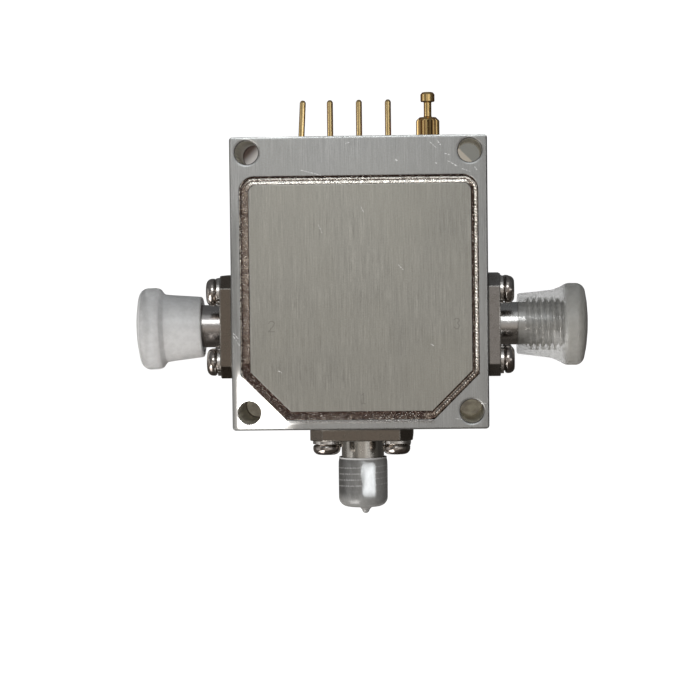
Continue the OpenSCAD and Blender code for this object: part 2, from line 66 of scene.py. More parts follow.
# ---------------------------------------------------------------- node helpers
class Mat:
    """Small helper around one material's node tree. Coordinates are in millimetres."""

    def __init__(self, name):
        self.m = bpy.data.materials.new(name)
        self.m.use_nodes = True
        self.t = self.m.node_tree
        self.n = self.t.nodes
        self.b = self.n["Principled BSDF"]
        self.out = self.n["Material Output"]
        tc = self.n.new("ShaderNodeTexCoord")
        sc = self.n.new("ShaderNodeVectorMath")
        sc.operation = "SCALE"
        sc.inputs["Scale"].default_value = 1000.0
        self.link(tc.outputs["Object"], sc.inputs[0])
        self.mm = sc.outputs[0]

    def link(self, a, b):
        self.t.links.new(a, b)

    def set(self, **kw):
        for k, v in kw.items():
            self.b.inputs[k.replace("_", " ")].default_value = v

    def mapped(self, scale=(1, 1, 1), loc=(0, 0, 0), rot=(0, 0, 0), src=None):
        m = self.n.new("ShaderNodeMapping")
        m.inputs["Scale"].default_value = scale
        m.inputs["Location"].default_value = loc
        m.inputs["Rotation"].default_value = rot
        self.link(src or self.mm, m.inputs["Vector"])
        return m.outputs[0]

    def noise(self, scale=(1, 1, 1), detail=3.0, rough=0.5, loc=(0, 0, 0), rot=(0, 0, 0), dist=0.0):
        t = self.n.new("ShaderNodeTexNoise")
        t.inputs["Scale"].default_value = 1.0
        t.inputs["Detail"].default_value = detail
        t.inputs["Roughness"].default_value = rough
        t.inputs["Distortion"].default_value = dist
        self.link(self.mapped(scale, loc, rot), t.inputs["Vector"])
        return t.outputs["Fac"]

    def voronoi(self, scale=(1, 1, 1), feature="F1", loc=(0, 0, 0)):
        t = self.n.new("ShaderNodeTexVoronoi")
        t.feature = feature
        t.inputs["Scale"].default_value = 1.0
        self.link(self.mapped(scale, loc), t.inputs["Vector"])
        return t.outputs["Distance"]

    def val(self, x):
        v = self.n.new("ShaderNodeValue")
        v.outputs[0].default_value = x
        return v.outputs[0]

    def math(self, op, a, b=None, c=None, clamp=False):
        m = self.n.new("ShaderNodeMath")
        m.operation = op
        m.use_clamp = clamp
        for i, x in enumerate((a, b, c)):
            if x is None:
                continue
            if isinstance(x, (int, float)):
                m.inputs[i].default_value = x
            else:
                self.link(x, m.inputs[i])
        return m.outputs[0]

    def ramp(self, fac, lo, hi, a=0.0, b=1.0, smooth=True):
        m = self.n.new("ShaderNodeMapRange")
        m.interpolation_type = "SMOOTHSTEP" if smooth else "LINEAR"
        m.clamp = True
        self.link(fac, m.inputs["Value"])
        m.inputs["From Min"].default_value = lo
        m.inputs["From Max"].default_value = hi
        m.inputs["To Min"].default_value = a
        m.inputs["To Max"].default_value = b
        return m.outputs[0]

    def mix(self, fac, a, b, blend="MIX"):
        m = self.n.new("ShaderNodeMix")
        m.data_type = "RGBA"
        m.blend_type = blend
        m.clamp_factor = True
        if isinstance(fac, (int, float)):
            m.inputs[0].default_value = fac
        else:
            self.link(fac, m.inputs[0])
        for s, x in ((6, a), (7, b)):
            if isinstance(x, (tuple, list)):
                m.inputs[s].default_value = (*x[:3], 1.0)
            else:
                self.link(x, m.inputs[s])
        return m.outputs[2]

    def xyz(self, src=None):
        s = self.n.new("ShaderNodeSeparateXYZ")
        self.link(src or self.mm, s.inputs[0])
        return s.outputs

    def bump(self, height, strength=1.0, distance=0.01, normal=None):
        b = self.n.new("ShaderNodeBump")
        b.inputs["Strength"].default_value = strength
        b.inputs["Distance"].default_value = distance * MM
        self.link(height, b.inputs["Height"])
        if normal is not None:
            self.link(normal, b.inputs["Normal"])
        return b.outputs[0]

    def soft_edges(self, radius, samples=4):
        """Normal rounded over sharp edges within that many millimetres, and a mask of where that turns it."""
        e = self.n.new("ShaderNodeBevel")
        e.samples = samples
        if isinstance(radius, (int, float)):
            e.inputs["Radius"].default_value = radius * MM
        else:
            self.link(self.math("MULTIPLY", radius, MM), e.inputs["Radius"])
        g = self.n.new("ShaderNodeNewGeometry")
        d = self.n.new("ShaderNodeVectorMath")
        d.operation = "DOT_PRODUCT"
        self.link(e.outputs[0], d.inputs[0])
        self.link(g.outputs["Normal"], d.inputs[1])
        return e.outputs[0], self.ramp(d.outputs["Value"], 0.998, 0.94)

    def color(self, x):
        self.link(x, self.b.inputs["Base Color"])

    def rough(self, x):
        self.link(x, self.b.inputs["Roughness"])

    def normal(self, x):
        self.link(x, self.b.inputs["Normal"])


def smooth(obj, angle=35.0):
    me = obj.data
    me.polygons.foreach_set("use_smooth", [True] * len(me.polygons))
    if angle is not None:
        bm = bmesh.new()
        bm.from_mesh(me)
        lim = math.radians(angle)
        for e in bm.edges:
            e.smooth = not (len(e.link_faces) == 2 and e.calc_face_angle(0) > lim)
        bm.to_mesh(me)
        bm.free()
    me.update()


def new_obj(name, verts, faces, mat, angle=35.0):
    me = bpy.data.meshes.new(name)
    me.from_pydata([Vector(v) * MM for v in verts], [], faces)
    me.update()
    o = bpy.data.objects.new(name, me)
    bpy.context.scene.collection.objects.link(o)
    if mat:
        me.materials.append(mat)
    bm = bmesh.new()
    bm.from_mesh(me)
    bmesh.ops.recalc_face_normals(bm, faces=bm.faces)
    bm.to_mesh(me)
    bm.free()
    smooth(o, angle)
    return o


# ---------------------------------------------------------------- materials
def segment_mask(M, x0, y0, x1, y1, w):
    """1 on a thin line from (x0, y0) to (x1, y1), in millimetres, seen from above."""
    dx, dy = x1 - x0, y1 - y0
    l2 = dx * dx + dy * dy
    X, Y, _ = M.xyz()
    px = M.math("SUBTRACT", X, x0)
    py = M.math("SUBTRACT", Y, y0)
    t = M.math("ADD", M.math("MULTIPLY", px, dx / l2), M.math("MULTIPLY", py, dy / l2), clamp=True)
    ex = M.math("SUBTRACT", px, M.math("MULTIPLY", t, dx))
    ey = M.math("SUBTRACT", py, M.math("MULTIPLY", t, dy))
    d = M.math("SQRT", M.math("ADD", M.math("MULTIPLY", ex, ex), M.math("MULTIPLY", ey, ey)))
    return M.ramp(d, w * 0.4, w, 1.0, 0.0)


def up_mask(M, lo=0.8, hi=0.95):
    g = M.n.new("ShaderNodeNewGeometry")
    s = M.n.new("ShaderNodeSeparateXYZ")
    M.link(g.outputs["Normal"], s.inputs[0])
    return M.ramp(s.outputs[2], lo, hi)


def brushed_aluminium(name, base, glare=False, scratches=(), marks=()):
    M = Mat(name)
    fine = M.noise((9, 0.22, 9), 3.0, 0.62)
    finer = M.noise((26, 0.9, 26), 2.0, 0.6, loc=(7, 3, 1))
    broad = M.noise((1.7, 0.08, 1.7), 2.0, 0.5, loc=(3, 9, 2))
    cloud = M.noise((0.16, 0.11, 0.16), 2.0, 0.5, loc=(11, 2, 5))
    grit = M.noise((6, 6, 6), 2.0, 0.7, loc=(1, 5, 9))
    streak = M.math("ADD", M.math("MULTIPLY", fine, 0.6), M.math("MULTIPLY", finer, 0.4))
    dark = tuple(c * 0.64 for c in base)
    light = tuple(min(1.0, c * 1.36) for c in base)
    col = M.mix(M.ramp(streak, 0.3, 0.7, smooth=False), dark, light)
    col = M.mix(M.ramp(broad, 0.35, 0.65, 0.0, 0.4), col, tuple(c * 0.88 for c in base))
    warm = (base[0] * 1.05, base[1] * 0.99, base[2] * 0.93)
    cool = (base[0] * 0.96, base[1] * 1.01, base[2] * 1.02)
    col = M.mix(M.ramp(cloud, 0.35, 0.65, 0.0, 0.4), col, M.mix(M.ramp(grit, 0.3, 0.7), warm, cool), "MIX")
    r = M.math("ADD", M.ramp(streak, 0.3, 0.7, 0.36, 0.46), M.ramp(grit, 0.3, 0.7, -0.02, 0.03))
    h = M.math("ADD", M.math("MULTIPLY", fine, 0.7), M.math("ADD", M.math("MULTIPLY", finer, 0.4), M.math("MULTIPLY", grit, 0.25)))
    rim = M.ramp(M.xyz()[1], 17.44, 17.48, 0.16, 0.42) if glare else M.ramp(M.xyz()[1], -9.5, -7.5, 0.05, 0.16)
    edge, worn_edge_highlight = M.soft_edges(rim)
    # rubbed edges, paler and glossier: partly real wear, partly a painted highlight along the edges
    col = M.mix(M.math("MULTIPLY", worn_edge_highlight, 0.75), col, (0.80, 0.80, 0.78))
    r = M.math("SUBTRACT", r, M.math("MULTIPLY", worn_edge_highlight, 0.12))
    # a grain over the brushing, and painted shade darkening the face towards the right, along its right edge and
    # towards the bottom
    col = M.mix(M.ramp(grit, 0.3, 0.7, 0.12, 0.0), col, (0, 0, 0))
    X, Y, _ = M.xyz()
    painted_shade = M.math("MULTIPLY", M.ramp(X, 0.0, 15.0), M.ramp(Y, -8.0, 10.0, 0.0, 0.15))
    painted_shade = M.math("ADD", painted_shade, M.ramp(X, 14.2, 15.6, 0.0, 0.09))
    painted_shade = M.math("ADD", painted_shade, M.ramp(Y, 8.0, -12.0, 0.0, 0.09))
    if glare:
        # painted shade along the middle of the housing's left edge
        mid = M.math("MULTIPLY", M.ramp(Y, 12.0, 4.0), M.ramp(Y, -9.5, -4.0))
        painted_shade = M.math("ADD", painted_shade, M.math("MULTIPLY", mid, M.ramp(X, -14.6, -15.2, 0.0, 0.24)))
    col = M.mix(painted_shade, col, (0, 0, 0))
    n = M.bump(h, 0.4, 0.012, normal=edge)
    if glare:
        # the mounting holes: painted light on the walls of the bores, which are paler, and painted shadow darker near
        # their base on the left, a thin dark rim and a faint burr
        X, Y, Z = M.xyz()
        hx = M.math("SUBTRACT", M.math("ABSOLUTE", X), 13.65)
        hy = M.math("SUBTRACT", M.math("ABSOLUTE", Y), 15.95)
        rad = M.math("SQRT", M.math("ADD", M.math("MULTIPLY", hx, hx), M.math("MULTIPLY", hy, hy)))
        wall = M.math("MULTIPLY", M.ramp(rad, 1.60, 1.54), M.math("SUBTRACT", 1.0, up_mask(M, 0.2, 0.4)))
        bore_painted_light_and_shadow = M.mix(M.math("MULTIPLY", M.ramp(X, 2.0, -2.0), M.ramp(Z, 2.6, 0.6)), (0.96, 0.94, 0.88), (0.16, 0.12, 0.10))
        col = M.mix(wall, col, bore_painted_light_and_shadow)
        r = M.math("ADD", r, M.math("MULTIPLY", wall, 0.2))
        ring = M.math("MULTIPLY", M.ramp(rad, 1.38, 1.42), M.ramp(rad, 1.60, 1.50))
        ring = M.math("MULTIPLY", ring, M.ramp(Z, 13.4, 13.7, 0.0, 0.85))
        col = M.mix(ring, col, (0.05, 0.045, 0.04))
        burr = M.math("MULTIPLY", M.ramp(rad, 1.50, 1.76), M.math("MAXIMUM", M.ramp(X, -2.0, 2.0), M.ramp(Y, -2.0, 2.0)))
        n = M.bump(burr, 1.0, 0.05, normal=n)
        # weld spatter along the outer edge of the seam on the jack side
        spat = M.noise((6.5, 6.5, 6.5), 2.0, 0.7, loc=(2, 6, 4))
        band = M.math("MULTIPLY", M.ramp(Y, -17.42, -17.12), M.ramp(Y, -16.7, -16.9))
        band = M.math("MULTIPLY", M.math("MULTIPLY", band, M.ramp(X, 9.4, 8.6)), M.ramp(X, -9.4, -8.6))
        col = M.mix(M.math("MULTIPLY", band, M.ramp(spat, 0.56, 0.44, 0.0, 0.65)), col, (0.12, 0.09, 0.075))
        hot = M.math("MULTIPLY", band, M.ramp(spat, 0.58, 0.66))
        col = M.mix(hot, col, (0.98, 0.95, 0.92))
        r = M.math("SUBTRACT", r, M.math("MULTIPLY", hot, 0.2))
        n = M.bump(M.math("MULTIPLY", band, spat), 0.9, 0.12, normal=n)
    if scratches:
        tot = None
        for s in scratches:
            k = segment_mask(M, *s)
            tot = k if tot is None else M.math("MAXIMUM", tot, k)
        tot = M.math("MULTIPLY", tot, up_mask(M))
        brk = M.ramp(M.noise((6, 6, 6), 2.0, 0.6, loc=(4, 4, 4)), 0.42, 0.55)
        tot = M.math("MULTIPLY", tot, brk)
        col = M.mix(tot, col, (0.95, 0.95, 0.95))
        n = M.bump(tot, 0.6, 0.02, normal=n)
    if glare:
        # the slightly rolled-off corner on the left of the jack side, whose normal leans towards a lamp, with a
        # painted highlight that pales its colour
        dx = M.ramp(X, -6.8, -9.8)
        dy = M.ramp(Y, -9.0, -12.5)
        rim = M.math("MULTIPLY", M.ramp(X, -15.6, -14.9), M.ramp(Y, -18.1, -17.2, 0.7, 1.0))
        k = M.math("MULTIPLY", M.math("MULTIPLY", M.math("MULTIPLY", dx, dy), rim), up_mask(M))
        v = M.n.new("ShaderNodeVectorMath")
        v.operation = "SCALE"
        v.inputs[0].default_value = (-0.21, -0.24, 0.0)
        M.link(k, v.inputs["Scale"])
        a = M.n.new("ShaderNodeVectorMath")
        a.operation = "ADD"
        M.link(n, a.inputs[0])
        M.link(v.outputs[0], a.inputs[1])
        nn = M.n.new("ShaderNodeVectorMath")
        nn.operation = "NORMALIZE"
        M.link(a.outputs[0], nn.inputs[0])
        n = nn.outputs[0]
        r = M.math("SUBTRACT", r, M.math("MULTIPLY", k, 0.14))
        col = M.mix(k, col, (0.8, 0.8, 0.79))
        # the burnished edge on the pin side leans a little outwards
        k = M.math("MULTIPLY", M.ramp(Y, 17.64, 17.70), up_mask(M, 0.5, 0.6))
        k = M.math("MULTIPLY", k, M.ramp(cloud, 0.3, 0.7, 0.75, 1.0))
        lean = M.n.new("ShaderNodeCombineXYZ")
        M.link(M.ramp(fine, 0.3, 0.7, -0.04, 0.04), lean.inputs[0])
        lean.inputs[1].default_value = 0.24
        lean.inputs[2].default_value = 1.0
        e = M.n.new("ShaderNodeMix")
        e.data_type = "VECTOR"
        M.link(k, e.inputs[0])
        M.link(n, e.inputs[4])
        M.link(lean.outputs[0], e.inputs[5])
        nn = M.n.new("ShaderNodeVectorMath")
        nn.operation = "NORMALIZE"
        M.link(e.outputs[1], nn.inputs[0])
        n = nn.outputs[0]
    if marks:
        # laser-marked plain port numbers
        tot = None
        for mk in marks:
            k = segment_mask(M, *mk)
            tot = k if tot is None else M.math("MAXIMUM", tot, k)
        tot = M.math("MULTIPLY", M.math("MULTIPLY", tot, up_mask(M)), M.ramp(grit, 0.25, 0.6, 0.45, 0.8))
        col = M.mix(tot, col, tuple(c * 0.60 for c in base))
    M.color(col)
    M.rough(r)
    M.normal(n)
    M.set(Metallic=1.0)
    return M.m


def turned_metal(name, base, rough=0.24, spread=0.08, scale=(9, 9, 9), bump=0.25, tint=None, edge=0.07, barrel=None,
                 thread=None):
    """Turned steel. barrel is (axis, start, end, colour) of a stretch given a brighter colour, and thread is
    (axis, start, end) of one whose grooves are darkened as painted shade."""
    M = Mat(name)
    a = M.noise(scale, 3.0, 0.6)
    b = M.noise((1.3, 1.3, 1.3), 2.0, 0.5, loc=(5, 1, 7))
    g = M.noise((30, 30, 30), 2.0, 0.6, loc=(2, 8, 3))
    lo = tuple(c * 0.8 for c in base)
    hi = tuple(min(1.0, c * 1.15) for c in base)
    col = M.mix(M.ramp(a, 0.3, 0.7), lo, hi)
    if tint:
        col = M.mix(M.ramp(b, 0.45, 0.7, 0.0, 0.6), col, tint)
    if barrel:
        k = M.ramp(M.xyz()[barrel[0]], barrel[1], barrel[2])
        col = M.mix(k, col, M.mix(M.ramp(a, 0.3, 0.7), tuple(c * 0.85 for c in barrel[3]), barrel[3]))
    if thread:
        # painted shade: the thread's grooves darkened to near black
        P = M.xyz()
        da = M.math("SUBTRACT", P[1], SIDE_Y) if thread[0] == 0 else P[0]
        dz = M.math("SUBTRACT", P[2], JACK_Z)
        rad = M.math("SQRT", M.math("ADD", M.math("MULTIPLY", da, da), M.math("MULTIPLY", dz, dz)))
        k = M.math("MULTIPLY", M.ramp(P[thread[0]], thread[1], thread[2]), M.ramp(rad, 2.90, 2.70))
        col = M.mix(k, col, M.mix(M.ramp(b, 0.3, 0.7), (0.018, 0.02, 0.024), (0.05, 0.052, 0.056)))
    edge, worn_edge_highlight = M.soft_edges(edge)
    # rubbed edges, paler: partly real wear, partly a painted highlight along the edges
    col = M.mix(M.math("MULTIPLY", worn_edge_highlight, 0.6), col, (0.72, 0.70, 0.66))
    M.color(col)
    r = M.math("ADD", M.ramp(a, 0.3, 0.7, rough - spread / 2, rough + spread / 2), M.ramp(b, 0.3, 0.7, -0.03, 0.05))
    M.rough(M.math("SUBTRACT", r, M.math("MULTIPLY", worn_edge_highlight, 0.08)))
    M.normal(M.bump(M.math("ADD", a, M.math("MULTIPLY", g, 0.3)), bump, 0.01, normal=edge))
    M.set(Metallic=1.0)
    return M.m


def plain(name, base, rough=0.5, metallic=0.0, var=0.1, scale=4.0, **kw):
    M = Mat(name)
    a = M.noise((scale,) * 3, 3.0, 0.6)
    M.color(M.mix(M.ramp(a, 0.3, 0.7), tuple(c * (1 - var) for c in base), tuple(min(1, c * (1 + var)) for c in base)))
    M.rough(M.ramp(a, 0.3, 0.7, rough - 0.05, rough + 0.05))
    M.normal(M.bump(a, 0.2, 0.01))
    M.set(Metallic=metallic)
    for k, v in kw.items():
        M.b.inputs[k.replace("_", " ")].default_value = v
    return M.m


def gold(name, base=(0.90, 0.69, 0.34), rough=0.13, along=(6, 40, 6), teeth=None):
    """Gold plate. teeth is (x, z, end, root, crest) of a toothed stretch along Y, whose grooves are darkened as
    painted shade.
    """
    M = Mat(name)
    a = M.noise(along, 3.0, 0.6)
    b = M.noise((2.5, 1.2, 2.5), 2.0, 0.5, loc=(3, 3, 3))
    col = M.mix(M.ramp(a, 0.3, 0.7), tuple(c * 0.78 for c in base), tuple(min(1, c * 1.12) for c in base))
    col = M.mix(M.ramp(b, 0.45, 0.7, 0.0, 0.25), col, (0.5, 0.34, 0.14))
    # painted shade: redder and darker down the sides, as the normal leans away from up
    col = M.mix(up_mask(M, 0.80, 0.35), col, tuple(c * k for c, k in zip(base, (0.52, 0.29, 0.13))))
    if teeth:
        X, Y, Z = M.xyz()
        dx, dz = M.math("SUBTRACT", X, teeth[0]), M.math("SUBTRACT", Z, teeth[1])
        rad = M.math("SQRT", M.math("ADD", M.math("MULTIPLY", dx, dx), M.math("MULTIPLY", dz, dz)))
        k = M.math("MULTIPLY", M.ramp(rad, teeth[4], teeth[3]), M.ramp(rad, teeth[3] - 0.2, teeth[3] - 0.1))
        k = M.math("MULTIPLY", k, M.ramp(Y, teeth[2] + 0.05, teeth[2] - 0.05, 0.0, 0.85))
        # painted shade in the grooves between the teeth
        col = M.mix(k, col, (0.16, 0.075, 0.025))
    M.color(col)
    M.rough(M.ramp(a, 0.3, 0.7, rough - 0.04, rough + 0.05))
    M.normal(M.bump(a, 0.1, 0.004))
    M.set(Metallic=1.0)
    return M.m


def weld_material():
    M = Mat("weld_metal")
    # the seam's darkness: heat-tint oxidation in its brown bands, and painted shade in the dark cracks and slits
    # beside its walls
    at = M.n.new("ShaderNodeAttribute")
    at.attribute_name = "oxide_and_shade"
    a = M.noise((3.2, 3.2, 3.2), 3.0, 0.65)
    b = M.noise((12, 12, 12), 3.0, 0.65, loc=(4, 1, 9))
    # the seam is smoother along the slanting lower-right edge
    X, Y, Z = M.xyz()
    calm = M.math("MULTIPLY", M.ramp(X, 7.0, 9.0), M.ramp(Y, -10.5, -9.0, 1.0, 0.0))
    rest = M.math("SUBTRACT", 1.0, M.math("MULTIPLY", calm, 0.7))
    t = M.math("ADD", at.outputs["Fac"], M.math("MULTIPLY", M.ramp(b, 0.3, 0.7, -0.26, 0.26), rest), clamp=True)
    silver = M.mix(M.ramp(a, 0.3, 0.7), (0.66, 0.61, 0.54), (0.93, 0.90, 0.84))
    straw = M.mix(M.ramp(a, 0.3, 0.7), (0.17, 0.125, 0.10), (0.32, 0.26, 0.21))
    brown = M.mix(M.ramp(a, 0.35, 0.65), (0.026, 0.014, 0.011), (0.085, 0.052, 0.042))
    col = M.mix(M.ramp(t, 0.0, 0.5, smooth=False), silver, straw)
    col = M.mix(M.ramp(t, 0.5, 0.86, smooth=False), col, brown)
    # small bright specks of bare metal over the darker parts of the seam
    g = M.noise((7, 7, 7), 2.0, 0.7, loc=(9, 2, 6))
    col = M.mix(M.math("MULTIPLY", M.ramp(g, 0.585, 0.665, 0.0, 0.85), rest), col, (0.92, 0.86, 0.80))
    M.color(col)
    M.rough(M.ramp(b, 0.3, 0.7, 0.12, 0.32))
    hgt = M.math("MULTIPLY", M.math("ADD", b, M.math("MULTIPLY", g, 0.9)), M.ramp(at.outputs["Fac"], 0.05, 0.5, 0.45, 1.0))
    M.normal(M.bump(M.math("MULTIPLY", hgt, rest), 0.85, 0.045))
    M.set(Metallic=1.0)
    return M.m


def cap_plastic(name, milk, end_milk, rough, thin, thick, x0, x1, shine=0.05, shine_rough=0.22, bore=0.06, rings=0.0):
    """Milky see-through plastic: an opacity of thin in the tube wall, going to thick between x0 and x1 at the solid
    end. The wall's opacity sits on its outside, with little left for its bore, but for pale rings where the bore
    rides on the thread's crests."""
    M = Mat(name)
    a = M.noise((1.2, 1.2, 1.2), 3.0, 0.6)
    b = M.noise((7, 7, 7), 2.0, 0.6, loc=(3, 1, 2))
    X, Y, Z = M.xyz()
    end = M.ramp(X, x0, x1)
    body = M.mix(end, milk, end_milk)
    M.color(M.mix(M.ramp(a, 0.3, 0.7, 0.07, 0.0), body, (0, 0, 0)))
    M.rough(M.ramp(a, 0.3, 0.7, rough - 0.05, rough + 0.08))
    n = M.bump(M.math("ADD", a, M.math("MULTIPLY", b, 0.12)), 0.3, 0.05)
    M.normal(n)
    al = M.math("ADD", M.ramp(X, x0, x1, thin, thick), M.ramp(a, 0.3, 0.7, -0.03, 0.03))
    dy, dz = M.math("SUBTRACT", Y, SIDE_Y), M.math("SUBTRACT", Z, JACK_Z)
    rad = M.math("SQRT", M.math("ADD", M.math("MULTIPLY", dy, dy), M.math("MULTIPLY", dz, dz)))
    rad = M.math("SUBTRACT", rad, M.math("MULTIPLY", M.math("SUBTRACT", M.math("ABSOLUTE", X), 19.5), 0.05))
    al = M.math("MULTIPLY", al, M.ramp(rad, 3.36, 3.5, bore / thin, 1.0))
    # the solid end is seen through its whole length from outside
    al = M.math("MAXIMUM", al, M.ramp(M.math("ABSOLUTE", X), 27.2, 27.5, 0.0, 0.93))
    if rings:
        ang = M.math("MULTIPLY", M.math("ARCTAN2", dy, M.math("MULTIPLY", dz, -1.0)), 0.5 / math.pi)
        turn = M.math("SUBTRACT", M.math("MULTIPLY", M.math("SUBTRACT", X, 15.775), 1 / 0.75), ang)
        v = M.math("ABSOLUTE", M.math("SUBTRACT", M.math("MULTIPLY", M.math("FRACT", turn), 2.0), 1.0))
        ring = M.math("MULTIPLY", M.ramp(v, 0.62, 0.25), M.math("MULTIPLY", M.ramp(X, 20.4, 20.8), M.ramp(X, 24.9, 24.5)))
        ring = M.math("MULTIPLY", ring, M.math("MULTIPLY", M.ramp(rad, 3.5, 3.36), M.ramp(a, 0.3, 0.7, rings * 0.7, rings)))
        al = M.math("ADD", al, ring, clamp=True)
    M.link(al, M.b.inputs["Alpha"])
    M.set(Subsurface_Weight=0.8, Subsurface_Scale=0.0012)
    M.b.inputs["Subsurface Radius"].default_value = (1.0, 1.0, 1.0)
    M.b.inputs["IOR"].default_value = 1.46
    glossy_layer(M, n, M.math("MULTIPLY", M.ramp(a, 0.3, 0.7, shine * 0.7, shine * 1.3), M.math("MULTIPLY_ADD", end, -0.8, 1.0)), shine_rough)
    return M.m


def glossy_layer(M, normal, fac, rough):
    """Lays a clear shine over the see-through body, which its opacity doesn't thin."""
    g = M.n.new("ShaderNodeBsdfGlossy")
    g.inputs["Color"].default_value = (1, 1, 1, 1)
    g.inputs["Roughness"].default_value = rough
    M.link(normal, g.inputs["Normal"])
    mx = M.n.new("ShaderNodeMixShader")
    M.link(fac, mx.inputs[0])
    M.link(M.b.outputs[0], mx.inputs[1])
    M.link(g.outputs[0], mx.inputs[2])
    M.link(mx.outputs[0], M.out.inputs["Surface"])


def film_plastic(name, milk):
    """Thin film drawn over a thread: a pale line where it rides on each crest, and one flat crease on its upper side."""
    M = Mat(name)
    a = M.noise((1.1, 0.5, 1.1), 3.0, 0.6)
    b = M.noise((5, 2.5, 5), 2.0, 0.6, loc=(3, 1, 2))
    X, Y, Z = M.xyz()
    # crests of the thread under the film, whose axis runs along -Y
    ang = M.math("MULTIPLY", M.math("ARCTAN2", M.math("SUBTRACT", Z, JACK_Z), X), 0.5 / math.pi)
    turn = M.math("SUBTRACT", M.math("MULTIPLY", M.math("SUBTRACT", -18.13, Y), 1 / 0.75), ang)
    v = M.math("ABSOLUTE", M.math("SUBTRACT", M.math("MULTIPLY", M.math("FRACT", turn), 2.0), 1.0))
    line = M.math("MULTIPLY", M.ramp(v, 0.30, 0.06), M.math("MULTIPLY", M.ramp(Y, -22.6, -22.9), M.ramp(Y, -26.3, -25.8)))
    line = M.math("MULTIPLY", line, M.ramp(b, 0.35, 0.6, 0.12, 0.42))
    # the flat crease, on its upper side
    xs = M.math("ADD", M.math("ADD", X, M.ramp(a, 0.3, 0.7, -0.14, -0.02)), M.math("MULTIPLY", M.math("ADD", Y, 24.5), 0.03))
    k = M.math("MULTIPLY", M.ramp(xs, -0.5, 0.5), M.ramp(xs, 1.75, 1.15))
    k = M.math("MULTIPLY", k, M.math("MULTIPLY", M.ramp(Y, -27.3, -25.8), M.ramp(Y, -22.2, -23.4)))
    k = M.math("MULTIPLY", k, M.ramp(Z, 8.0, 9.0))
    line = M.math("MULTIPLY", line, M.ramp(k, 0.05, 0.4, 1.0, 0.0))
    rim = M.ramp(Y, -22.28, -22.14)
    pale = M.math("MAXIMUM", line, rim)
    # painted light and shade: the film darker on the left and paler on the right; it is also paler towards its closed
    # end
    col = M.mix(M.ramp(M.math("ADD", X, M.ramp(a, 0.3, 0.7, -0.4, 0.4)), -2.4, 2.4, smooth=False), tuple(c * 0.38 for c in milk),
                tuple(c * 1.56 for c in milk))
    col = M.mix(M.ramp(Y, -26.2, -27.6), col, tuple(c * 1.45 for c in milk))
    M.color(M.mix(pale, col, (0.80, 0.80, 0.80)))
    M.rough(M.ramp(a, 0.3, 0.7, 0.3, 0.4))
    al = M.math("ADD", M.ramp(Y, -26.4, -28.0, 0.78, 0.78), M.ramp(b, 0.35, 0.65, -0.05, 0.06))
    M.link(M.math("ADD", al, M.math("MULTIPLY", pale, 0.25), clamp=True), M.b.inputs["Alpha"])
    n = M.bump(M.math("ADD", a, M.math("MULTIPLY", b, 0.2)), 0.35, 0.06)
    # the crease lies flat and faces up and a little towards the body, running off to the right
    flat = M.n.new("ShaderNodeCombineXYZ")
    M.link(M.ramp(a, 0.3, 0.7, -0.02, 0.02), flat.inputs[0])
    M.link(M.ramp(a, 0.3, 0.7, 0.22, 0.26), flat.inputs[1])
    flat.inputs[2].default_value = 1.0
    mixed = M.n.new("ShaderNodeMix")
    mixed.data_type = "VECTOR"
    M.link(M.ramp(k, 0.0, 0.3), mixed.inputs[0])
    M.link(n, mixed.inputs[4])
    M.link(flat.outputs[0], mixed.inputs[5])
    nn = M.n.new("ShaderNodeVectorMath")
    nn.operation = "NORMALIZE"
    M.link(mixed.outputs[1], nn.inputs[0])
    M.normal(nn.outputs[0])
    glossy_layer(M, nn.outputs[0], M.math("ADD", M.ramp(a, 0.3, 0.7, 0.05, 0.07), M.math("MULTIPLY", k, 0.27)), 0.28)
    return M.m


def from_px(u, v, z=14.0):
    """Point at height z, in millimetres, that the camera shows at this place of a 700 by 700 picture."""
    d = world_to_cam.to_3x3().inverted() @ Vector(((u - 350) / F_PX, -(v - 350) / F_PX, -1.0))
    c = CAM / MM
    q = c + d * ((z - c.z) / d.z)
    return q.x, q.y


def nick(u0, v0, u1, v1, w):
    return (*from_px(u0, v0), *from_px(u1, v1), w)


# small nicks and scratches on the top face, by where they show
HOUSING_SCRATCHES = [
    nick(437.2, 140.6, 440.2, 144.6, 0.10), nick(448.2, 160.8, 457.4, 166.3, 0.09), nick(395.6, 159.6, 396.8, 160.4, 0.12),
    nick(435.4, 162.6, 436.6, 163.2, 0.09), nick(444.5, 153.4, 449.5, 154.6, 0.07), nick(345.5, 143.6, 349.5, 142.4, 0.08),
    nick(301, 170.2, 321, 175.2, 0.05), nick(430, 142, 436, 147.5, 0.045), nick(495.6, 359.8, 500, 360.6, 0.07),
    nick(494.8, 383.4, 496.6, 384.2, 0.1), nick(479.2, 403.6, 486, 403.4, 0.06), nick(231.5, 331.5, 238, 338.5, 0.07),
    nick(233.5, 336.5, 239.5, 345.5, 0.06), nick(462, 168.6, 470, 171.2, 0.05), nick(474.5, 166.5, 477, 170, 0.045),
    nick(456, 418.5, 462, 419.5, 0.05),
]
LID_SCRATCHES = [
    nick(318.4, 225, 322, 233, 0.04), nick(398.5, 265, 403, 269.5, 0.05), nick(278.5, 371, 281.5, 372.6, 0.06),
    nick(431, 344, 434, 346, 0.05), nick(360, 205, 363.5, 212, 0.035),
]


def digit(u, v, shape, size=10.5, w=0.085):
    """Strokes of a plain number whose middle shows at this place of the picture, size pixels high."""
    return [nick(u + a * size, v - b * size, u + c * size, v - d * size, w) for a, b, c, d in shape]


